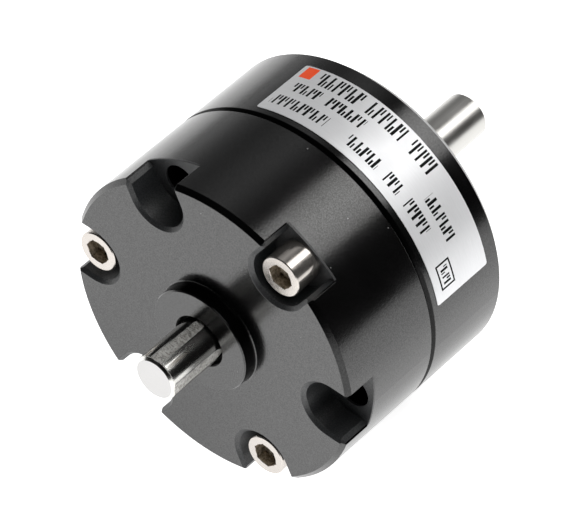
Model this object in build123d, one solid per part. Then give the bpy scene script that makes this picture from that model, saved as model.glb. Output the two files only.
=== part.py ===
from build123d import *
import math
import os

# Small rotary vane actuator with two shaft ends, in millimetres.
# The shaft lies along Y. The mounting face is the plane y = 0, the long output shaft points
# along +Y and the short shaft with four flats points along -Y. +Z is up.
# Angles go round the shaft axis from +X towards +Z.

# Body
BODY_R = 21.0
FRONT_Y = -29.0
SPLIT_Y = -13.5
FRONT_CHAMFER = 0.6
REAR_CHAMFER = 1.0
SPLIT_CHAMFER = 0.42
BOSS_R = 7.0
BOSS_H = 1.9
BOSS_CHAMFER = 0.15
BOSS_ROOT = 0.2
SHAFT_HOLE_R = 3.4
HOLE_CHAMFER = 0.15
LIP_T = 1.0

# Vane chamber
CHAMBER_R = 13.5
CHAMBER_FRONT = -24.0
CHAMBER_REAR = -5.0
STOPPER_AT = 240.0
SWEEP = 270.0

# Screws, mounting holes and the open slots that they share
PITCH_R = 18.0
SCREW_ANGLES = (60.0, 180.0, 300.0)
MOUNT_ANGLES = (0.0, 120.0, 240.0)
HEX_TURNS = (55.0, -2.0, 48.0)
SLOT_HALF = 3.7
SLOT_DEPTH = 4.4
SLOT_CHAMFER = 0.45
SLOT_SIDE_CHAMFER = 0.7
MOUNT_CLEAR_R = 2.25
MOUNT_TAP_R = 1.77
SCREW_R = 1.48
SCREW_CLEAR_R = 1.6
SCREW_TAP_R = 1.5
SCREW_LEN = 18.0
SCREW_CHAMFER = 0.4
TAP_DEPTH = 8.0
HEAD_R = 2.7
HEAD_H = 3.7
HEAD_BEVEL = 0.12
HEX_ACROSS = 3.0
HEX_DEPTH = 1.5
HEX_CONE = 0.25
HEX_COUNTERSINK = 0.1

# Air ports
PORT_ANGLE = 33.0
PORT_Y = -7.2
PORT_TAP_R = 2.1
PORT_DEPTH = 4.5
PORT_CHAMFER = 0.4
PASSAGE_R = 0.8

# Shaft and vane
SHAFT_R = 3.0
SHORT_END = -38.9
LONG_END = 20.0
SHAFT_CHAMFER = 0.4
RELIEF_R = 2.8
RELIEF_FROM = 1.3
RELIEF_TO = 2.0
FLAT_DIST = 2.87
FLAT_STOP = -31.5
FLAT_CUTTER_R = 9.0
VANE_AT = 92.0
SQUARE_HALF = 2.6
SQUARE_CORNER_R = 3.5
SQUARE_FROM = -23.2
SQUARE_TO = -5.8
HUB_R = 4.4
VANE_HALF = 2.5
VANE_CORE_R = 12.2
SEAL_RIM = 1.1
TIP_GAP = 0.08
END_GAP = 0.05
HUB_GAP = 0.1

# Stopper
STOP_GAP = 0.05
STOPPER_CORE_R = 5.9
RELIEF_DEPTH = 1.4
RELIEF_FROM_Z = 5.8
RELIEF_HALF = 1.8
STOPPER_SEAL_HALF = 0.7
STOPPER_SEAL_RIM = 1.2
PIP_R = 1.0
PIP_H = 0.8
PIP_PITCH_R = 10.5
PIP_ANGLE = 16.0

# Body O-ring
RING_R = 14.55
GROOVE_HALF = 0.55
GROOVE_DEPTH = 0.8
RING_HALF = 0.53

# Bearings, back-up rings and shaft seals
BEARING_R = 6.0
BEARING_W = 4.0
RACE_OUT = 5.05
RACE_IN = 3.95
BALL_PITCH_R = 4.5
BALL_R = 0.79
BALL_COUNT = 8
RACE_GROOVE_R = 0.82
CAGE_IN = 4.14
CAGE_OUT = 4.86
CAGE_POCKET_R = 0.83
CAGE_FROM = 0.2
CAGE_TO = 1.35
BACKUP_W = 0.6
BACKUP_IN = 3.15
SEAL_BORE_R = 3.05
SEAL_ENTRY = 0.15
SEAL_LIP = 0.45
SEAL_GROOVE_SHARE = 0.55
SEAT_GAP = 0.01

# Name label, a foil bent round the rear body
LABEL_T = 0.08
LABEL_FROM_ANGLE = 16.8
LABEL_TO_ANGLE = 113.0
LABEL_FROM_Y = -12.3
LABEL_TO_Y = -3.1
LABEL_CORNER_R = 0.3

# Cutting tools reach this far past the surfaces that they open, and past everything
OVER = 1.0
BIG = 60.0


def turned(*points):
    """Solid of revolution about the shaft axis from (radius, y) points."""
    return revolve(make_face(Polyline(*points, close=True)), Axis.Y)


def rod(radius, y0, y1):
    """Plain cylinder on the shaft axis."""
    return turned((0, y0), (radius, y0), (radius, y1), (0, y1))


def tube(inner, outer, y0, y1):
    """Plain ring on the shaft axis."""
    return turned((inner, y0), (outer, y0), (outer, y1), (inner, y1))


def at_angle(shape, degrees, radius=0.0):
    """Move a shape out along +X, then turn it from +X towards +Z."""
    return Rot(0, -degrees, 0) * Pos(radius, 0, 0) * shape


def across(y):
    """Drawing plane square to the shaft. Its X is +X and its normal is +Y."""
    return Plane(origin=(0, y, 0), x_dir=(1, 0, 0), z_dir=(0, 1, 0))


def prism(sketch, y0, y1):
    """Extrude a sketch along the shaft from y0 to y1."""
    return extrude(across(y0) * sketch, amount=y1 - y0)


def slot_outline(half_width):
    """Round-ended slot that runs out through the side of the body."""
    reach = BODY_R + 6 * OVER - PITCH_R
    run_out = Pos(PITCH_R + reach / 2, 0) * Rectangle(reach, 2 * half_width)
    return Pos(PITCH_R, 0) * Circle(half_width) + run_out


def slot_cutter():
    """Counterbore for a cap screw, open to the front and to the side, with chamfered edges."""
    floor_y = FRONT_Y + SLOT_DEPTH
    cutter = prism(slot_outline(SLOT_HALF), FRONT_Y - OVER, floor_y)
    wide = across(FRONT_Y - OVER) * slot_outline(SLOT_HALF + SLOT_CHAMFER + OVER)
    narrow = across(FRONT_Y + SLOT_CHAMFER) * slot_outline(SLOT_HALF)
    cutter += loft([wide.face(), narrow.face()])
    edge_z = SLOT_HALF + SLOT_SIDE_CHAMFER
    edge_x = math.sqrt(BODY_R**2 - edge_z**2)
    start_x = edge_x - SLOT_SIDE_CHAMFER
    flare = make_face(Polyline(
        (start_x, -SLOT_HALF), (start_x, SLOT_HALF),
        (edge_x + OVER, edge_z + OVER), (edge_x + OVER, -edge_z - OVER), close=True))
    return cutter + prism(flare, FRONT_Y - OVER, floor_y)


def front_body():
    """Screw-side half: boss, bearing seat, half of the chamber and six open slots."""
    boss_y = FRONT_Y - BOSS_H
    body = turned(
        (SHAFT_HOLE_R, boss_y + HOLE_CHAMFER),
        (SHAFT_HOLE_R + HOLE_CHAMFER, boss_y),
        (BOSS_R - BOSS_CHAMFER, boss_y),
        (BOSS_R, boss_y + BOSS_CHAMFER),
        (BOSS_R, FRONT_Y - BOSS_ROOT),
        (BOSS_R + BOSS_ROOT, FRONT_Y),
        (BODY_R - FRONT_CHAMFER, FRONT_Y),
        (BODY_R, FRONT_Y + FRONT_CHAMFER),
        (BODY_R, SPLIT_Y - SPLIT_CHAMFER),
        (BODY_R - SPLIT_CHAMFER, SPLIT_Y),
        (CHAMBER_R, SPLIT_Y),
        (CHAMBER_R, CHAMBER_FRONT),
        (BEARING_R, CHAMBER_FRONT),
        (BEARING_R, boss_y + LIP_T),
        (SHAFT_HOLE_R, boss_y + LIP_T))
    cutter = slot_cutter()
    floor_y = FRONT_Y + SLOT_DEPTH
    for angle in SCREW_ANGLES:
        body -= at_angle(cutter, angle)
        body -= at_angle(rod(SCREW_CLEAR_R, floor_y, SPLIT_Y), angle, PITCH_R)
    for angle in MOUNT_ANGLES:
        body -= at_angle(cutter, angle)
        body -= at_angle(rod(MOUNT_CLEAR_R, floor_y, SPLIT_Y), angle, PITCH_R)
    for side in (-1, 1):
        pip = rod(PIP_R + SEAT_GAP, CHAMBER_FRONT - PIP_H, CHAMBER_FRONT)
        body -= at_angle(pip, STOPPER_AT + side * PIP_ANGLE, PIP_PITCH_R)
    return body


def port_cutter():
    """Tapped port along +X with a countersunk mouth and a thin passage into the chamber."""
    mouth = BODY_R - PORT_DEPTH
    port = Pos(BODY_R, 0, 0) * Rot(0, 90, 0) * Cylinder(PORT_TAP_R, 2 * PORT_DEPTH)
    sink_r = PORT_TAP_R + PORT_CHAMFER
    sink_x = math.sqrt(BODY_R**2 - sink_r**2)
    sink_len = PORT_CHAMFER + OVER
    sink = Cone(PORT_TAP_R, sink_r + OVER, sink_len, align=(Align.CENTER, Align.CENTER, Align.MIN))
    port += Pos(sink_x - PORT_CHAMFER, 0, 0) * Rot(0, 90, 0) * sink
    passage_len = mouth - CHAMBER_R + 2 * OVER
    centre_x = (mouth + CHAMBER_R) / 2
    port += Pos(centre_x, 0, 0) * Rot(0, 90, 0) * Cylinder(PASSAGE_R, passage_len)
    return Pos(0, PORT_Y, 0) * port


def rear_body():
    """Mounting half: rest of the chamber, O-ring groove, taps, ports and the rear boss."""
    groove_in = RING_R - GROOVE_HALF
    groove_out = RING_R + GROOVE_HALF
    body = turned(
        (CHAMBER_R, SPLIT_Y),
        (groove_in, SPLIT_Y),
        (groove_in, SPLIT_Y + GROOVE_DEPTH),
        (groove_out, SPLIT_Y + GROOVE_DEPTH),
        (groove_out, SPLIT_Y),
        (BODY_R - SPLIT_CHAMFER, SPLIT_Y),
        (BODY_R, SPLIT_Y + SPLIT_CHAMFER),
        (BODY_R, -REAR_CHAMFER),
        (BODY_R - REAR_CHAMFER, 0),
        (BOSS_R + BOSS_ROOT, 0),
        (BOSS_R, BOSS_ROOT),
        (BOSS_R, BOSS_H - BOSS_CHAMFER),
        (BOSS_R - BOSS_CHAMFER, BOSS_H),
        (SHAFT_HOLE_R + HOLE_CHAMFER, BOSS_H),
        (SHAFT_HOLE_R, BOSS_H - HOLE_CHAMFER),
        (SHAFT_HOLE_R, BOSS_H - LIP_T),
        (BEARING_R, BOSS_H - LIP_T),
        (BEARING_R, CHAMBER_REAR),
        (CHAMBER_R, CHAMBER_REAR))
    for angle in SCREW_ANGLES:
        body -= at_angle(rod(SCREW_TAP_R, SPLIT_Y, SPLIT_Y + TAP_DEPTH), angle, PITCH_R)
    for angle in MOUNT_ANGLES:
        body -= at_angle(rod(MOUNT_TAP_R, SPLIT_Y, 0), angle, PITCH_R)
    for side in (-1, 1):
        pip = rod(PIP_R + SEAT_GAP, CHAMBER_REAR, CHAMBER_REAR + PIP_H)
        body -= at_angle(pip, STOPPER_AT + side * PIP_ANGLE, PIP_PITCH_R)
        body -= at_angle(port_cutter(), STOPPER_AT + side * PORT_ANGLE)
    return body


def body_o_ring():
    """O-ring squeezed between the two body halves."""
    section = Pos(RING_R, SPLIT_Y + GROOVE_DEPTH / 2) * Ellipse(RING_HALF, GROOVE_DEPTH / 2 - SEAT_GAP)
    return revolve(section, Axis.Y)


def stopper_wedge(inner, outer, y0, y1):
    """Keystone between the two stop faces, which are parallel to the vane at each end of travel."""
    half = math.radians((360.0 - SWEEP) / 2)
    apex = (VANE_HALF + STOP_GAP) / math.sin(half)
    wide = BIG * math.tan(half)
    wedge = make_face(Polyline((apex, 0), (apex + BIG, wide), (apex + BIG, -wide), close=True))
    return tube(inner, outer, y0, y1) & prism(wedge, y0, y1)


def stopper_seal_blank():
    """Rubber frame round the stopper: a middle plate and the whole inner tip."""
    y0 = CHAMBER_FRONT + SEAT_GAP
    y1 = CHAMBER_REAR - SEAT_GAP
    outer = CHAMBER_R - SEAT_GAP
    plate = stopper_wedge(STOPPER_CORE_R - OVER, outer, y0, y1)
    plate &= Box(BIG, BIG * 2, 2 * STOPPER_SEAL_HALF)
    tip = stopper_wedge(HUB_R + END_GAP, STOPPER_CORE_R, y0, y1)
    rim = STOPPER_SEAL_RIM
    middle = tube(STOPPER_CORE_R, outer + OVER, y0 + rim, y1 - rim)
    return plate + tip - middle


def stopper():
    """Fixed resin block that divides the chamber, held by four moulded pips."""
    y0 = CHAMBER_FRONT + SEAT_GAP
    y1 = CHAMBER_REAR - SEAT_GAP
    outer = CHAMBER_R - SEAT_GAP
    block = stopper_wedge(STOPPER_CORE_R, outer, y0, y1)
    block -= stopper_seal_blank()
    relief = tube(outer - RELIEF_DEPTH, outer + OVER, PORT_Y - RELIEF_HALF, PORT_Y + RELIEF_HALF)
    block -= relief - Box(BIG, BIG * 2, 2 * RELIEF_FROM_Z)
    pip_h = PIP_H - 2 * SEAT_GAP
    for side in (-1, 1):
        pips = rod(PIP_R, y0 - pip_h, y0 + OVER) + rod(PIP_R, y1 - OVER, y1 + pip_h)
        block += at_angle(pips, side * PIP_ANGLE, PIP_PITCH_R)
    return at_angle(block, STOPPER_AT)


def stopper_seal():
    return at_angle(stopper_seal_blank(), STOPPER_AT)


def flat_cutter():
    """Milled flat on the +X side of the short shaft, with the round run-out of the cutter."""
    long = FLAT_STOP - SHORT_END + OVER
    slab = Pos(FLAT_DIST + OVER / 2, FLAT_STOP - long / 2, 0) * Box(OVER, long, 4 * SHAFT_R)
    wheel = Pos(FLAT_DIST + FLAT_CUTTER_R, FLAT_STOP, 0) * Cylinder(FLAT_CUTTER_R, 4 * SHAFT_R)
    return slab + wheel


def vane_shaft():
    """One-piece steel shaft: long round end, square middle for the vane, short end with flats.

    A grinding relief parts the long end from its journal where it leaves the boss.
    """
    shaft = turned(
        (0, SHORT_END), (SHAFT_R - SHAFT_CHAMFER, SHORT_END), (SHAFT_R, SHORT_END + SHAFT_CHAMFER),
        (SHAFT_R, LONG_END - SHAFT_CHAMFER), (SHAFT_R - SHAFT_CHAMFER, LONG_END), (0, LONG_END))
    square = prism(Rectangle(2 * SQUARE_HALF, 2 * SQUARE_HALF), SQUARE_FROM, SQUARE_TO)
    shaft += square & rod(SQUARE_CORNER_R, SQUARE_FROM, SQUARE_TO)
    shaft -= tube(RELIEF_R, SHAFT_R + OVER, RELIEF_FROM, RELIEF_TO)
    for quarter in range(4):
        shaft -= at_angle(flat_cutter(), 90.0 * quarter)
    return at_angle(shaft, VANE_AT)


def vane_blanks():
    """Resin core and rubber seal of the vane, pointing along +X, before the shaft is cut out."""
    hub = rod(HUB_R, CHAMBER_FRONT + HUB_GAP, CHAMBER_REAR - HUB_GAP)
    y0 = CHAMBER_FRONT + END_GAP
    y1 = CHAMBER_REAR - END_GAP
    side = Pos(BIG / 2, 0, 0) * Box(BIG, BIG * 2, 2 * VANE_HALF)
    core = hub + (rod(VANE_CORE_R, y0 + SEAL_RIM, y1 - SEAL_RIM) & side)
    seal = (rod(CHAMBER_R - TIP_GAP, y0, y1) & side) - core
    seal -= rod(HUB_R, y0 - OVER, y1 + OVER)
    return core, seal


def vane_core(shaft):
    core, _ = vane_blanks()
    return at_angle(core, VANE_AT) - shaft


def vane_seal():
    _, seal = vane_blanks()
    return at_angle(seal, VANE_AT)


def race_groove(centre_y):
    return Pos(0, centre_y, 0) * Rot(90, 0, 0) * Torus(BALL_PITCH_R, RACE_GROOVE_R)


def bearing(prefix, centre_y, seal_side):
    """Rings, cage and balls of one ball bearing. The cage is open towards the shaft seal."""
    y0 = centre_y - BEARING_W / 2
    y1 = centre_y + BEARING_W / 2
    groove = race_groove(centre_y)
    parts = {
        prefix + "_bearing_outer_ring": tube(RACE_OUT, BEARING_R - SEAT_GAP, y0, y1) - groove,
        prefix + "_bearing_inner_ring": tube(SHAFT_R + SEAT_GAP, RACE_IN, y0, y1) - groove}
    cage_a = centre_y - seal_side * CAGE_FROM
    cage_b = centre_y - seal_side * CAGE_TO
    cage = tube(CAGE_IN, CAGE_OUT, min(cage_a, cage_b), max(cage_a, cage_b))
    for k in range(BALL_COUNT):
        turn = 360.0 * k / BALL_COUNT
        cage -= at_angle(Pos(0, centre_y, 0) * Sphere(CAGE_POCKET_R), turn, BALL_PITCH_R)
        ball = at_angle(Pos(0, centre_y, 0) * Sphere(BALL_R), turn, BALL_PITCH_R)
        parts[f"{prefix}_bearing_ball_{k + 1}"] = ball
    parts[prefix + "_bearing_cage"] = cage
    return parts


def shaft_end_parts(prefix, bearing_far, chamber_y):
    """Bearing, back-up ring and lip seal, stacked from the boss lip to the chamber wall."""
    inward = 1 if chamber_y > bearing_far else -1
    centre = bearing_far + inward * BEARING_W / 2
    parts = bearing(prefix, centre, inward)
    ring_a = bearing_far + inward * BEARING_W
    ring_b = ring_a + inward * BACKUP_W
    outer = BEARING_R - SEAT_GAP
    parts[prefix + "_backup_ring"] = tube(BACKUP_IN, outer, min(ring_a, ring_b), max(ring_a, ring_b))
    tip = chamber_y - inward * END_GAP
    valley = tip + SEAL_GROOVE_SHARE * (ring_b - tip)
    middle = (SEAL_BORE_R + outer) / 2
    parts[prefix + "_shaft_seal"] = turned(
        (SEAL_BORE_R + SEAL_ENTRY, ring_b), (outer, ring_b), (outer, tip),
        (outer - SEAL_LIP, tip), (middle, valley),
        (SEAL_BORE_R + SEAL_LIP, tip), (SEAL_BORE_R, tip), (SEAL_BORE_R, valley))
    return parts


def body_screw(hex_turn):
    """Hexagon socket cap screw, head towards -Y, standing on the shaft axis."""
    seat = FRONT_Y + SLOT_DEPTH
    top = seat - HEAD_H
    end = seat + SCREW_LEN
    screw = turned(
        (0, top), (HEAD_R - HEAD_BEVEL, top), (HEAD_R, top + HEAD_BEVEL),
        (HEAD_R, seat), (SCREW_R, seat), (SCREW_R, end - SCREW_CHAMFER),
        (SCREW_R - SCREW_CHAMFER, end), (0, end))
    corner_r = HEX_ACROSS / 2 / math.cos(math.pi / 6)
    socket = prism(RegularPolygon(corner_r, 6), top, top + HEX_DEPTH)
    socket += turned((0, top), (HEX_ACROSS / 2, top), (HEX_ACROSS / 2, top + HEX_DEPTH),
                     (0, top + HEX_DEPTH + HEX_CONE))
    mouth_r = HEX_ACROSS / 2 + HEX_COUNTERSINK
    socket += turned((0, top), (mouth_r, top), (0, top + mouth_r))
    return screw - at_angle(socket, hex_turn)


def name_label():
    """Thin foil bent round the rear body, with rounded corners."""
    inner = BODY_R + SEAT_GAP
    foil = tube(inner, inner + LABEL_T, LABEL_FROM_Y, LABEL_TO_Y)
    span = LABEL_TO_ANGLE - LABEL_FROM_ANGLE
    half = math.radians(span / 2)
    sector = make_face(Polyline(
        (0, 0), (BIG * math.cos(half), BIG * math.sin(half)),
        (BIG * math.cos(half), -BIG * math.sin(half)), close=True))
    foil &= prism(sector, LABEL_FROM_Y, LABEL_TO_Y)
    for edge_y, towards_y in ((LABEL_FROM_Y, 1), (LABEL_TO_Y, -1)):
        for side in (-1, 1):
            r = LABEL_CORNER_R
            inset = math.degrees(r / BODY_R)
            block = Box(OVER, 2 * r, 2 * r)
            block = Pos(0, -towards_y * r, side * r) * block
            corner = block - Rot(0, 90, 0) * Cylinder(r, OVER)
            corner = Pos(0, edge_y + towards_y * r, 0) * corner
            foil -= at_angle(corner, side * (span / 2 - inset), BODY_R)
    return at_angle(foil, (LABEL_FROM_ANGLE + LABEL_TO_ANGLE) / 2)


def all_parts():
    shaft = vane_shaft()
    parts = {
        "front_body": front_body(),
        "rear_body": rear_body(),
        "body_o_ring": body_o_ring(),
        "stopper": stopper(),
        "stopper_seal": stopper_seal(),
        "vane_shaft": shaft,
        "vane_core": vane_core(shaft),
        "vane_seal": vane_seal(),
        "name_label": name_label()}
    for number, (angle, turn) in enumerate(zip(SCREW_ANGLES, HEX_TURNS), start=1):
        parts[f"body_screw_{number}"] = at_angle(body_screw(turn - angle), angle, PITCH_R)
    parts.update(shaft_end_parts("front", FRONT_Y - BOSS_H + LIP_T, CHAMBER_FRONT))
    parts.update(shaft_end_parts("rear", BOSS_H - LIP_T, CHAMBER_REAR))
    return parts


os.makedirs("parts", exist_ok=True)
for name, shape in all_parts().items():
    export_step(shape, f"parts/{name}.step")
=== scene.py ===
import math

import bmesh
import bpy
from mathutils import Matrix, Vector


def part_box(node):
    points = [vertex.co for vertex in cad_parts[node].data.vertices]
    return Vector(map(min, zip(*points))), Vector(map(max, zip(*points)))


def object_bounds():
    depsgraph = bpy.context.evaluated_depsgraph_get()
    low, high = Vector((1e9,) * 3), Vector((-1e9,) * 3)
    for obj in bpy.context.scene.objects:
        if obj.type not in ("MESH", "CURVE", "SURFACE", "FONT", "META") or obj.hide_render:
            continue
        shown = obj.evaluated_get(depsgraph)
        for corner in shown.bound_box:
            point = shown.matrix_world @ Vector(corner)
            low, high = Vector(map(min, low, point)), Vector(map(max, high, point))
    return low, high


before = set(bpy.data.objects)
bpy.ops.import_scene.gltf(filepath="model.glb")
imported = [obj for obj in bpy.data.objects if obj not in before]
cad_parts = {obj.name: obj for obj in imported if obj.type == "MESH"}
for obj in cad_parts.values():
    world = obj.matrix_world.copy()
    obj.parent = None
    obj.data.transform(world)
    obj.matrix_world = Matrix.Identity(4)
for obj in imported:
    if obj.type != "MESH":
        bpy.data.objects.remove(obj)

# Looks of a small rotary vane actuator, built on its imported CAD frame. Lengths are in metres.
# The shaft lies along Y and the mounting face is y = 0. Angles go round the shaft axis from +X
# towards +Z, in degrees. A name that ends in _R is a distance from the shaft axis.

MM = 0.001
CAD_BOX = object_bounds()

# Camera: where it looks, from which side and how far, its turn about its own axis, and its lens
CAMERA_AIM = Vector((-0.143, -14.608, -0.003)) * MM
CAMERA_AZIMUTH = -53.828
CAMERA_ELEVATION = 47.156
CAMERA_ROLL = 4.865
CAMERA_DISTANCE = 0.52657
CAMERA_LENS = 278.672
CAMERA_NEAR = 0.01
SENSOR_WIDTH = 36.0

# Floor: half its side, its white, and its glow, which is painted light. The glow is highest at the
# actuator and fades over the distances in FLOOR_POOL, a painted pool of light. Each dimmer paints light
# and shade: it holds a range of place and the shares of glow at its ends.
FLOOR_HALF = 1.5
FLOOR_WHITE = (0.79, 0.81)
FLOOR_GLOW = 1.1
FLOOR_POOL = (0.06, 0.45)
FLOOR_POOL_EDGE = 0.62
SHADE_AT = (15.0 * MM, 0.0)
DIM_BY_SHADE = (6.0 * MM, 36.0 * MM, 0.62, 1.02)
DIM_BY_Y = (-55.0 * MM, 20.0 * MM, 1.34, 1.0)
DIM_BY_X = (-60.0 * MM, 10.0 * MM, 0.82, 1.0)

# Softbox: its brightness, the share left along its edges, its angle range, distance and Y range
SOFTBOX_RADIANCE = 3.6
SOFTBOX_EDGE = 0.72
SOFTBOX_COLOUR = (1.0, 0.995, 0.985, 1)
SOFTBOX_ANGLES = (51.0, 89.5)
SOFTBOX_DISTANCE = 0.8
SOFTBOX_Y = (-0.35, 0.95)

# Room: brightness at angles round the shaft axis. It dims towards the front: the last line holds a
# range of a direction's y part and the shares of brightness at its ends.
ROOM_BANDS = ((0, 0.015), (46, 0.015), (98, 0.04), (120, 0.47), (146, 0.18), (162, 0.3), (180, 0.75))
HALF_TURN = 180
ROOM_TO_FRONT = (-0.45, 0.1, 0.05, 1.0)

# Places on the body where one finish changes to another, and where the coat's painted shade begins
BODY_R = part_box("front_body")[1].x
BOSS_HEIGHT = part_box("rear_body")[1].y
FRONT_FACE_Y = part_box("front_body")[0].y + BOSS_HEIGHT
BODY_MIDDLE_Y = FRONT_FACE_Y / 2
SPLIT_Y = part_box("rear_body")[0].y
OUTSIDE_R = BODY_R + 0.1 * MM
FRONT_EDGE_Y = FRONT_FACE_Y + 0.58 * MM
FRONT_EDGE_R = BODY_R - 0.58 * MM
REAR_EDGE_Y = -0.98 * MM
REAR_EDGE_R = BODY_R - 1.1 * MM
GROOVE_HALF_WIDTH = 0.6 * MM
GROOVE_R = BODY_R - 0.03 * MM
BOSS_WALL_R = (6.9 * MM, 7.3 * MM)
BOSS_WALL_FROM_MIDDLE = (14.6 * MM, 16.25 * MM)
HOLE_EDGE_R = 3.56 * MM

# Painted shade on the coat, put in as gloss taken away: how deep it is on turned edges and in the groove,
# where 1 is as deep as in the shaft holes, and the share of the coat's gloss that the painted shade takes
# away there
REAR_EDGE_SHADE = 0.9
FRONT_EDGE_SHADE = 0.42
GROOVE_SHADE = 0.82
MOST_GLOSS_SHADED = 0.93

# Screws and slots lie on one circle, evenly spaced from a first angle. The middle of body_screw_2,
# at 180 degrees, gives the circle's radius.
SCREW_TOP_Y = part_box("body_screw_1")[0].y
PITCH_R = -(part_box("body_screw_2")[0].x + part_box("body_screw_2")[1].x) / 2
SLOT_FIRST = 0.0
SLOT_SPACING = 60.0
SLOT_REACH = 4.22 * MM
SLOT_END_Y = FRONT_FACE_Y + 4.7 * MM
SCREW_FIRST = 60.0
SCREW_SPACING = 120.0
SOCKET_REACH = 1.76 * MM
SOCKET_TOP_Y = SCREW_TOP_Y + 0.03 * MM

# Shaft: where the short end's face and chamfer stop, and where the flats run out under the front
# boss. A point nearer the shaft axis than FLAT_R lies on a flat.
SHORT_END_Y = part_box("vane_shaft")[0].y
FACED_TO_Y = SHORT_END_Y + 0.02 * MM
FLATS_FROM_Y = SHORT_END_Y + 0.34 * MM
FLATS_TO_Y = FRONT_FACE_Y - 1.0 * MM
FLATS_FADE = 0.1 * MM
FLAT_R = (2.94 * MM, 2.98 * MM)

# Colours. A pair is the two colours that a cloud or grain mixes.
COAT_GLOSSY = ((0.0006, 0.0006, 0.0007, 1), (0.0014, 0.0014, 0.0015, 1))
COAT_MATT = ((0.006, 0.0068, 0.0075, 1), (0.016, 0.0175, 0.019, 1))
DUST = (0.17, 0.17, 0.17, 1)
SHORT_SHAFT = ((0.58, 0.575, 0.55, 1), (0.66, 0.655, 0.635, 1))
LONG_SHAFT = ((0.49, 0.483, 0.462, 1), (0.55, 0.544, 0.525, 1))
# Painted shade: the short end's face is darker than the rest of that end, so it stays below white in the
# floor's glow
SHADED_SHAFT_FACE = ((0.415, 0.41, 0.405, 1), (0.445, 0.44, 0.437, 1))
CUT_MARK = (0.22, 0.205, 0.185, 1)
SCREW = ((0.46, 0.43, 0.40, 1), (0.54, 0.505, 0.475, 1))
SOCKET = ((0.17, 0.14, 0.10, 1), (0.50, 0.43, 0.34, 1))
FOIL = ((0.71, 0.715, 0.73, 1), (0.85, 0.855, 0.87, 1))
ORANGE = (1.0, 0.085, 0.006, 1)
INK = (0.004, 0.004, 0.004, 1)
# Painted shade: near black, on the bearing ring where it shows through the shaft hole
PAINTED_HOLE_SHADE = (0.004, 0.004, 0.004, 1)
RACE = ((0.55, 0.55, 0.56, 1), (0.68, 0.68, 0.69, 1))
BALL = ((0.66, 0.66, 0.67, 1), (0.74, 0.74, 0.75, 1))
CAGE = ((0.46, 0.44, 0.40, 1), (0.58, 0.56, 0.52, 1))
RESIN = ((0.30, 0.27, 0.21, 1), (0.38, 0.34, 0.27, 1))
RING_RESIN = ((0.60, 0.57, 0.50, 1), (0.68, 0.65, 0.58, 1))
NITRILE = ((0.008, 0.008, 0.008, 1), (0.014, 0.014, 0.014, 1))

# Label print. Each row has its range along Y in mm, the angle ranges of its words, the angle that
# one pair of bars takes up, and a number that varies the bars from row to row.
PRINT_ROWS = (
    ((-5.75, -3.5), ((55.0, 65.5), (69.0, 84.0), (86.5, 104.0)), 2.75, 11.0),
    ((-8.1, -6.45), ((80.0, 94.5), (98.0, 109.0), (33.5, 49.5)), 2.6, 40.0),
    ((-11.0, -9.25), ((89.0, 111.0), (67.0, 80.0), (56.5, 63.0), (41.0, 52.5)), 2.6, 90.0),
    ((-10.55, -9.3), ((22.0, 28.0),), 2.2, 7.0),
)
# The box round the last row, its line width in mm, and the orange patch
PRINT_BOX = ((-11.15, -8.7), (20.5, 29.5))
PRINT_BOX_LINE = 0.24
PRINT_PATCH = ((-5.4, -3.3), (106.6, 111.3))
# Parts of one pair of bars, as shares of its width: narrowest and widest where two are given
LONG_BAR_END = (0.28, 0.4)
SHORT_BAR_BEGIN = (0.64, 0.54)
SHORT_BAR_END = 0.84


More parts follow.
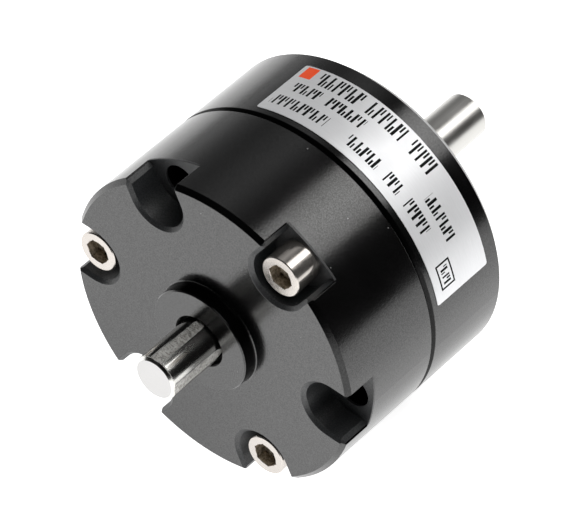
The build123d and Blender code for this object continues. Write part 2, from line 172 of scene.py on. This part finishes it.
class Graph:
    """Shorthand for a node tree: each method adds nodes and gives back an output socket."""

    def __init__(self, tree):
        self.tree = tree
        tree.nodes.clear()

    def node(self, kind, inputs=(), output=0, **settings):
        """One node. It gives back the node itself where output is None."""
        made = self.tree.nodes.new(kind)
        for name, value in settings.items():
            setattr(made, name, value)
        for key, value in dict(inputs).items():
            self.feed(made.inputs[key], value)
        return made if output is None else made.outputs[output]

    def feed(self, socket, value):
        """Link an input to an output, or set it to a plain value."""
        if isinstance(value, bpy.types.NodeSocket):
            self.tree.links.new(value, socket)
        else:
            socket.default_value = value

    def math(self, operation, a, b=0.0, c=0.0):
        return self.node("ShaderNodeMath", {0: a, 1: b, 2: c}, operation=operation)

    def minus(self, a, b):
        return self.math("SUBTRACT", a, b)

    def product(self, first, *others):
        for other in others:
            first = self.math("MULTIPLY", first, other)
        return first

    def highest(self, first, *others):
        for other in others:
            first = self.math("MAXIMUM", first, other)
        return first

    def below(self, value, limit):
        """1 where value is below limit, else 0."""
        return self.math("LESS_THAN", value, limit)

    def above(self, value, limit):
        """1 where value is above limit, else 0."""
        return self.math("GREATER_THAN", value, limit)

    def within(self, value, low, high):
        """1 where value lies between low and high, else 0."""
        return self.math("COMPARE", value, (low + high) / 2, (high - low) / 2)

    def remap(self, value, low, high, to_low=0.0, to_high=1.0, smooth=True):
        """Value carried from the range low to high over to another, and held beyond its ends."""
        kind = "SMOOTHSTEP" if smooth else "LINEAR"
        return self.node(
            "ShaderNodeMapRange",
            {"Value": value, "From Min": low, "From Max": high, "To Min": to_low, "To Max": to_high},
            interpolation_type=kind)

    def between(self, share, a, b):
        """Number that is a where share is 0 and b where it is 1."""
        return self.remap(share, 0.0, 1.0, a, b, smooth=False)

    def spread(self, noise, to_low, to_high):
        """Noise, which mostly lies between 0.3 and 0.7, spread over another range."""
        return self.remap(noise, 0.3, 0.7, to_low, to_high)

    def mix_colour(self, factor, a, b):
        made = self.node("ShaderNodeMix", output=None, data_type="RGBA")
        self.feed(made.inputs[0], factor)
        self.feed(made.inputs[6], a)
        self.feed(made.inputs[7], b)
        return made.outputs[2]

    def noise(self, vector, size, detail=2.0, roughness=0.5):
        """Noise whose features are about size metres across."""
        return self.node(
            "ShaderNodeTexNoise",
            {"Vector": vector, "Scale": 1.0 / size, "Detail": detail, "Roughness": roughness})

    def vector(self, x, y, z):
        return self.node("ShaderNodeCombineXYZ", {0: x, 1: y, 2: z})

    def place(self):
        """Position on the piece, and its x, y and z parts."""
        where = self.node("ShaderNodeTexCoord", output=3)
        split = self.node("ShaderNodeSeparateXYZ", {0: where}, output=None)
        return where, split.outputs[0], split.outputs[1], split.outputs[2]

    def length(self, a, b):
        """Square root of the sum of two squares."""
        return self.math("SQRT", self.math("ADD", self.product(a, a), self.product(b, b)))

    def turn(self, x, z):
        """Angle round the shaft axis in degrees."""
        return self.product(self.math("ARCTAN2", z, x), math.degrees(1))

    def bump(self, height, distance, normal=None):
        inputs = {"Height": height, "Distance": distance, "Strength": 1.0}
        if normal is not None:
            inputs["Normal"] = normal
        return self.node("ShaderNodeBump", inputs)

    def rounded_edges(self, radius):
        return self.node("ShaderNodeBevel", {"Radius": radius}, samples=4)

    def surface(self, **inputs):
        """Principled surface wired to the output. Names are the sockets' with underscores."""
        named = {key.replace("_", " "): value for key, value in inputs.items()}
        shader = self.node("ShaderNodeBsdfPrincipled", named)
        self.node("ShaderNodeOutputMaterial", {"Surface": shader}, output=None)


def grey(value):
    return (value, value, value, 1)


def new_graph(name):
    material = bpy.data.materials.new(name)
    material.use_nodes = True
    return material, Graph(material.node_tree)


def from_nearest(g, x, z, first, spacing):
    """Way from the nearest of the evenly spaced places on the pitch circle: sideways and outward."""
    radius = g.length(x, z)
    wrapped = g.math("WRAP", g.turn(x, z), first + spacing / 2, first - spacing / 2)
    turn = g.math("RADIANS", g.minus(wrapped, first))
    sideways = g.product(radius, g.math("SINE", turn))
    outward = g.minus(g.product(radius, g.math("COSINE", turn)), PITCH_R)
    return sideways, outward


def slot_mask(g, x, y, z):
    """1 on the walls, floor and edges of the six screw slots in the front face, else 0."""
    sideways, outward = from_nearest(g, x, z, SLOT_FIRST, SLOT_SPACING)
    from_slot = g.length(sideways, g.math("MINIMUM", outward, 0.0))
    return g.product(g.below(from_slot, SLOT_REACH), g.below(y, SLOT_END_Y))


def painted_shade_mask(g, x, y, z):
    """Painted shade on the coat, as gloss taken away: 1 in the shaft holes and on boss walls, less on
    turned edges and in the groove.
    """
    radius = g.length(x, z)
    from_middle = g.math("ABSOLUTE", g.minus(y, BODY_MIDDLE_Y))
    hole = g.below(radius, HOLE_EDGE_R)
    boss_wall = g.product(g.within(from_middle, *BOSS_WALL_FROM_MIDDLE), g.within(radius, *BOSS_WALL_R))
    rear_edge = g.product(g.above(y, REAR_EDGE_Y), g.within(radius, REAR_EDGE_R, OUTSIDE_R))
    front_edge = g.product(g.below(y, FRONT_EDGE_Y), g.within(radius, FRONT_EDGE_R, OUTSIDE_R))
    near_split = g.within(y, SPLIT_Y - GROOVE_HALF_WIDTH, SPLIT_Y + GROOVE_HALF_WIDTH)
    groove = g.product(near_split, g.below(radius, GROOVE_R))
    return g.highest(
        hole, boss_wall, g.product(rear_edge, REAR_EDGE_SHADE),
        g.product(front_edge, FRONT_EDGE_SHADE), g.product(groove, GROOVE_SHADE))


def dust_mask(g, where):
    """1 on scattered specks of dust, else 0."""
    spacing = 2.3 * MM
    size = 0.042
    share_left_out = 0.45
    cells = g.node("ShaderNodeTexVoronoi", {"Vector": where, "Scale": 1 / spacing}, output=None)
    draw = g.node("ShaderNodeSeparateColor", {0: cells.outputs["Color"]})
    return g.product(g.below(cells.outputs["Distance"], size), g.above(draw, share_left_out))


def black_coat():
    """Black finish of the aluminium body: glossy with a fine grain, matt in the milled slots, and painted
    shade in the holes, on boss walls, turned edges and groove.
    """
    material, g = new_graph("black_coat")
    where, x, y, z = g.place()
    slot = slot_mask(g, x, y, z)
    cloud = g.noise(where, size=6 * MM, detail=3.0)
    peel = g.noise(where, size=0.3 * MM, roughness=0.6)
    grain = g.noise(where, size=0.16 * MM, roughness=0.7)
    coat = g.mix_colour(slot, g.mix_colour(cloud, *COAT_GLOSSY), g.mix_colour(grain, *COAT_MATT))
    # Painted shade: the coat's gloss is taken away in the shaft holes, on the boss walls, on turned edges
    # and in the groove
    unshaded_gloss = g.minus(1.0, g.product(painted_shade_mask(g, x, y, z), MOST_GLOSS_SHADED))
    slot_roughness = 0.27
    slot_grain_height = 0.5
    height = g.math("ADD", peel, g.product(grain, slot, slot_grain_height))
    g.surface(
        Base_Color=g.mix_colour(dust_mask(g, where), coat, DUST),
        Roughness=g.math("ADD", g.spread(cloud, 0.165, 0.195), g.product(slot, slot_roughness)),
        IOR=1.6,
        Specular_IOR_Level=g.product(g.spread(grain, 0.36, 0.64), unshaded_gloss),
        Normal=g.bump(height, 0.007 * MM, g.rounded_edges(0.07 * MM)))
    return material


def ring_marks(g, where, y, pitch):
    """Fine uneven lines that run round the shaft, as turning and grinding leave them."""
    lines = g.noise(g.vector(0.0, y, 0.0), size=pitch, detail=3.0, roughness=0.7)
    broken = g.noise(where, size=1.2 * MM)
    return g.product(lines, g.spread(broken, 0.55, 1.0))


def flat_mask(g, x, y, z):
    """1 on the milled flats of the short shaft end, else 0."""
    under_round = g.remap(g.length(x, z), *FLAT_R, 1.0, 0.0)
    before_end = g.remap(y, FLATS_TO_Y - FLATS_FADE, FLATS_TO_Y + FLATS_FADE, 1.0, 0.0)
    return g.product(under_round, before_end, g.above(y, FLATS_FROM_Y))


def ground_steel():
    """Shaft steel: fine rings all along, scuffed cutter marks on the flats of the short end, and painted
    shade on that end's face.
    """
    material, g = new_graph("ground_steel")
    where, x, y, z = g.place()
    flat = flat_mask(g, x, y, z)
    toward_rear = g.remap(y, FLATS_TO_Y, 0.0)
    cloud = g.noise(where, size=2.5 * MM, detail=3.0)
    drawn_out = 0.6
    cuts = g.noise(g.vector(g.product(x, drawn_out), y, g.product(z, drawn_out)),
                   size=0.2 * MM, detail=3.0, roughness=0.75)
    scuffs = g.remap(g.noise(where, size=0.3 * MM, detail=3.0, roughness=0.75), 0.4, 0.58, 0.35, 1.0)
    round_tone = g.mix_colour(toward_rear, g.mix_colour(cloud, *SHORT_SHAFT),
                              g.mix_colour(cloud, *LONG_SHAFT))
    marked = g.mix_colour(g.product(flat, g.remap(cuts, 0.45, 0.6, 0.0, 0.85)), round_tone, CUT_MARK)
    flat_roughness = 0.12
    rough = g.math("ADD", g.remap(y, FLATS_TO_Y, 0.0, 0.15, 0.29), g.product(flat, flat_roughness))
    rings = g.bump(ring_marks(g, where, y, 0.09 * MM), 0.0012 * MM)
    g.surface(
        # Painted shade on the short end's face
        Base_Color=g.mix_colour(g.below(y, FACED_TO_Y), marked, g.mix_colour(cloud, *SHADED_SHAFT_FACE)),
        Metallic=g.minus(1.0, g.product(flat, scuffs)),
        Roughness=g.math("ADD", rough, g.spread(cloud, 0.0, 0.04)),
        Normal=g.bump(g.product(cuts, flat), 0.021 * MM, rings))
    return material


def screw_steel():
    """Bright stainless cap screw, with the dull brown floor and walls of a forged hexagon socket."""
    material, g = new_graph("screw_steel")
    where, x, y, z = g.place()
    from_axis = g.length(*from_nearest(g, x, z, SCREW_FIRST, SCREW_SPACING))
    socket = g.product(g.below(from_axis, SOCKET_REACH), g.above(y, SOCKET_TOP_Y))
    cloud = g.noise(where, size=0.9 * MM, detail=3.0, roughness=0.6)
    grain = g.noise(where, size=0.12 * MM, roughness=0.6)
    stain = g.remap(g.noise(where, size=0.45 * MM, detail=3.0, roughness=0.7), 0.35, 0.65)
    socket_roughness = 0.3
    g.surface(
        Base_Color=g.mix_colour(socket, g.mix_colour(cloud, *SCREW), g.mix_colour(stain, *SOCKET)),
        Metallic=g.between(socket, 0.9, 0.5),
        Roughness=g.math("ADD", g.spread(cloud, 0.16, 0.22), g.product(socket, socket_roughness)),
        Normal=g.bump(grain, 0.0015 * MM, g.rounded_edges(0.04 * MM)))
    return material


def printed_area(g, turn, y, low, high, low_turn, high_turn):
    """1 in a rectangle of the label, given by its range along Y in mm and its angle range."""
    return g.product(g.within(turn, low_turn, high_turn), g.within(y, low * MM, high * MM))


def printed_row(g, turn, y, across, words, pitch, seed):
    """One row of generic print: pairs of a long and a short bar of uneven width, and no letters."""
    low, high = across
    along = g.product(turn, 1 / pitch)
    place = g.math("FRACT", along)
    index = g.math("ADD", g.math("FLOOR", along), seed)
    draw = g.node("ShaderNodeTexWhiteNoise", {"W": index}, noise_dimensions="1D")
    long_bar = g.below(place, g.between(draw, *LONG_BAR_END))
    short_bar = g.product(g.above(place, g.between(draw, *SHORT_BAR_BEGIN)), g.below(place, SHORT_BAR_END))
    # The fraction of a multiple of the draw serves as a second draw, which picks a half of the row
    second_draw = g.math("FRACT", g.product(draw, 7.0))
    is_upper = g.above(second_draw, 0.5)
    in_upper = g.above(y, (low + high) / 2 * MM)
    same_half = g.math("COMPARE", in_upper, is_upper, 0.1)
    bars = g.highest(long_bar, g.product(short_bar, same_half))
    inside = g.highest(*[printed_area(g, turn, y, low, high, *word) for word in words])
    return g.product(bars, inside)


def printed_box(g, turn, y):
    """Outline of the small box at the end of the bottom row."""
    (low, high), (low_turn, high_turn) = PRINT_BOX
    line = PRINT_BOX_LINE
    line_turn = math.degrees(line * MM / BODY_R)
    outer = printed_area(g, turn, y, low, high, low_turn, high_turn)
    inner = printed_area(
        g, turn, y, low + line, high - line, low_turn + line_turn, high_turn - line_turn)
    return g.minus(outer, inner)


def label_foil():
    """Brushed silver foil label with black print and one orange patch."""
    material, g = new_graph("label_foil")
    where, x, y, z = g.place()
    turn = g.turn(x, z)
    brush_step = 0.02 * MM
    brushed = g.noise(g.vector(g.product(turn, brush_step), y, 0.0),
                      size=0.12 * MM, detail=3.0, roughness=0.7)
    cloud = g.noise(where, size=4 * MM)
    ink = g.highest(printed_box(g, turn, y), *[printed_row(g, turn, y, *row) for row in PRINT_ROWS])
    patch = printed_area(g, turn, y, *PRINT_PATCH[0], *PRINT_PATCH[1])
    unprinted = g.mix_colour(patch, g.mix_colour(brushed, *FOIL), ORANGE)
    bare = g.minus(1.0, g.highest(ink, patch))
    bare_metallic = 0.45
    g.surface(
        Base_Color=g.mix_colour(ink, unprinted, INK),
        Metallic=g.product(bare, bare_metallic),
        Roughness=g.spread(cloud, 0.43, 0.51),
        IOR=1.5,
        Specular_IOR_Level=g.between(ink, 0.5, 0.08),
        Normal=g.bump(brushed, 0.002 * MM))
    return material


def bearing_steel():
    """Bright bearing steel, with painted shade, dark and without gloss, where the ring shows through the
    shaft hole.
    """
    material, g = new_graph("bearing_steel")
    where, x, y, z = g.place()
    cloud = g.noise(where, size=1.5 * MM, detail=3.0)
    # Painted shade: the ring is dark and without gloss where it shows through the shaft hole
    through_hole_shade = g.below(g.length(x, z), HOLE_EDGE_R)
    g.surface(
        Base_Color=g.mix_colour(through_hole_shade, g.mix_colour(cloud, *RACE), PAINTED_HOLE_SHADE),
        Metallic=g.minus(1.0, through_hole_shade),
        Roughness=g.spread(cloud, 0.12, 0.2),
        Specular_IOR_Level=g.between(through_hole_shade, 0.5, 0.04),
        Normal=g.bump(ring_marks(g, where, y, 0.08 * MM), 0.001 * MM))
    return material


def ball_steel():
    """Polished steel of the bearings' balls."""
    material, g = new_graph("ball_steel")
    where = g.place()[0]
    cloud = g.noise(where, size=0.5 * MM)
    g.surface(Base_Color=g.mix_colour(cloud, *BALL), Metallic=1.0, Roughness=g.spread(cloud, 0.05, 0.09))
    return material


def cage_steel():
    """Pressed sheet steel of the bearings' cages."""
    material, g = new_graph("cage_steel")
    where = g.place()[0]
    cloud = g.noise(where, size=0.8 * MM, detail=3.0)
    g.surface(
        Base_Color=g.mix_colour(cloud, *CAGE), Metallic=1.0, Roughness=g.spread(cloud, 0.28, 0.4),
        Normal=g.bump(cloud, 0.004 * MM))
    return material


def moulded(name, colours, rough, grain_size, grain_height):
    """Moulded resin or rubber: a slightly clouded colour and a fine grain."""
    material, g = new_graph(name)
    where = g.place()[0]
    cloud = g.noise(where, size=3 * MM, detail=3.0)
    grain = g.noise(where, size=grain_size, roughness=0.6)
    g.surface(
        Base_Color=g.mix_colour(cloud, *colours), Roughness=g.spread(cloud, rough - 0.05, rough + 0.05),
        Normal=g.bump(grain, grain_height))
    return material


def dress_nodes():
    """Give every CAD node the finish of what it is made of. The first part of a name that fits counts."""
    nitrile = moulded("nitrile", NITRILE, rough=0.5, grain_size=0.2 * MM, grain_height=0.006 * MM)
    resin = moulded("resin", RESIN, rough=0.42, grain_size=0.3 * MM, grain_height=0.004 * MM)
    ring_resin = moulded(
        "ring_resin", RING_RESIN, rough=0.4, grain_size=0.3 * MM, grain_height=0.003 * MM)
    finishes = (
        ("_body", black_coat()),
        ("body_screw", screw_steel()),
        ("vane_shaft", ground_steel()),
        ("label", label_foil()),
        ("seal", nitrile),
        ("o_ring", nitrile),
        ("backup_ring", ring_resin),
        ("_ball_", ball_steel()),
        ("_cage", cage_steel()),
        ("_ring", bearing_steel()),
        ("vane_core", resin),
        ("stopper", resin),
    )
    for name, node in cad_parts.items():
        finish = next(finish for part, finish in finishes if part in name)
        node.data.materials.clear()
        node.data.materials.append(finish)


def staged_sheet(name, corners, material):
    """Flat four-cornered sheet that belongs to the studio and not to the actuator."""
    mesh = bpy.data.meshes.new(name)
    shape = bmesh.new()
    shape.faces.new([shape.verts.new(corner) for corner in corners])
    shape.to_mesh(mesh)
    shape.free()
    sheet = bpy.data.objects.new(name, mesh)
    sheet.data.materials.append(material)
    bpy.context.scene.collection.objects.link(sheet)
    return sheet


def floor_paper():
    """White paper that glows with painted light, as if lit from all round, and painted shade dims it under
    and behind the actuator.
    """
    material, g = new_graph("floor_paper")
    where, x, y, _ = g.place()
    painted_light_pool = g.remap(g.length(x, y), *FLOOR_POOL, FLOOR_GLOW, FLOOR_GLOW * FLOOR_POOL_EDGE)
    from_shade = g.length(g.minus(x, SHADE_AT[0]), g.minus(y, SHADE_AT[1]))
    grain = g.noise(where, size=1.5 * MM)
    g.surface(
        Base_Color=g.mix_colour(grain, *[grey(value) for value in FLOOR_WHITE]),
        Roughness=0.9,
        Specular_IOR_Level=0.0,
        Emission_Color=grey(1.0),
        # Painted light: the floor's glow, highest in a pool at the actuator, with painted shade beside its
        # right flank, towards the rear and to the left
        Emission_Strength=g.product(
            painted_light_pool, g.remap(from_shade, *DIM_BY_SHADE), g.remap(y, *DIM_BY_Y), g.remap(x, *DIM_BY_X)))
    return material


def softbox_cloth():
    """Softbox cloth, brightest along its middle."""
    material, g = new_graph("softbox_cloth")
    _, x, _, z = g.place()
    low, high = SOFTBOX_ANGLES
    off_middle = g.math("ABSOLUTE", g.minus(g.turn(x, z), (low + high) / 2))
    glow = g.remap(
        off_middle, 0.0, (high - low) / 2, SOFTBOX_RADIANCE, SOFTBOX_RADIANCE * SOFTBOX_EDGE)
    shader = g.node("ShaderNodeEmission", {"Color": SOFTBOX_COLOUR, "Strength": glow})
    g.node("ShaderNodeOutputMaterial", {"Surface": shader}, output=None)
    return material


def round_axis(degrees, distance, y):
    """Point at an angle round the shaft axis."""
    turn = math.radians(degrees)
    return Vector((distance * math.cos(turn), y, distance * math.sin(turn)))


def add_studio():
    """Pale floor under the actuator, and one long softbox overhead that the camera doesn't see."""
    z = CAD_BOX[0][2]
    half = FLOOR_HALF
    staged_sheet(
        "floor", [(-half, -half, z), (half, -half, z), (half, half, z), (-half, half, z)], floor_paper())
    low, high = SOFTBOX_ANGLES
    front, rear = SOFTBOX_Y
    corners = [round_axis(turn, SOFTBOX_DISTANCE, y) for turn, y in
               ((low, front), (high, front), (high, rear), (low, rear))]
    softbox = staged_sheet("softbox", corners, softbox_cloth())
    softbox.visible_camera = False


def add_room():
    """Dim room whose brightness changes going round the shaft axis; plain white where seen directly."""
    world = bpy.data.worlds.new("room")
    world.use_nodes = True
    bpy.context.scene.world = world
    g = Graph(world.node_tree)
    toward = g.node("ShaderNodeTexCoord", output=0)
    split = g.node("ShaderNodeSeparateXYZ", {0: toward}, output=None)
    turn = g.turn(split.outputs[0], split.outputs[2])
    ramp = g.node("ShaderNodeValToRGB", {0: g.product(turn, 1 / HALF_TURN)}, output=None)
    bands = ramp.color_ramp.elements
    while len(bands) < len(ROOM_BANDS):
        bands.new(0.5)
    for band, (at, level) in zip(bands, ROOM_BANDS):
        band.position = at / HALF_TURN
        band.color = grey(level)
    strength = g.remap(split.outputs[1], *ROOM_TO_FRONT)
    seen_directly = g.node("ShaderNodeLightPath")
    light = g.node("ShaderNodeBackground", {"Color": ramp.outputs[0], "Strength": strength})
    plain = g.node("ShaderNodeBackground", {"Color": grey(1.0), "Strength": 1.0})
    mixed = g.node("ShaderNodeMixShader", {0: seen_directly, 1: light, 2: plain})
    g.node("ShaderNodeOutputWorld", {"Surface": mixed}, output=None)


def add_camera():
    """Camera at its distance from the point it looks at."""
    lens = bpy.data.cameras.new("camera")
    lens.lens = CAMERA_LENS
    lens.sensor_width = SENSOR_WIDTH
    lens.clip_start = CAMERA_NEAR
    camera = bpy.data.objects.new("camera", lens)
    camera.matrix_world = (
        Matrix.Translation(CAMERA_AIM)
        @ Matrix.Rotation(math.radians(90 + CAMERA_AZIMUTH), 4, "Z")
        @ Matrix.Rotation(math.radians(90 - CAMERA_ELEVATION), 4, "X")
        @ Matrix.Rotation(math.radians(CAMERA_ROLL), 4, "Z")
        @ Matrix.Translation((0, 0, CAMERA_DISTANCE)))
    bpy.context.scene.collection.objects.link(camera)
    bpy.context.scene.camera = camera


add_camera()
add_studio()
add_room()
dress_nodes()
bpy.context.scene.view_settings.view_transform = "Standard"
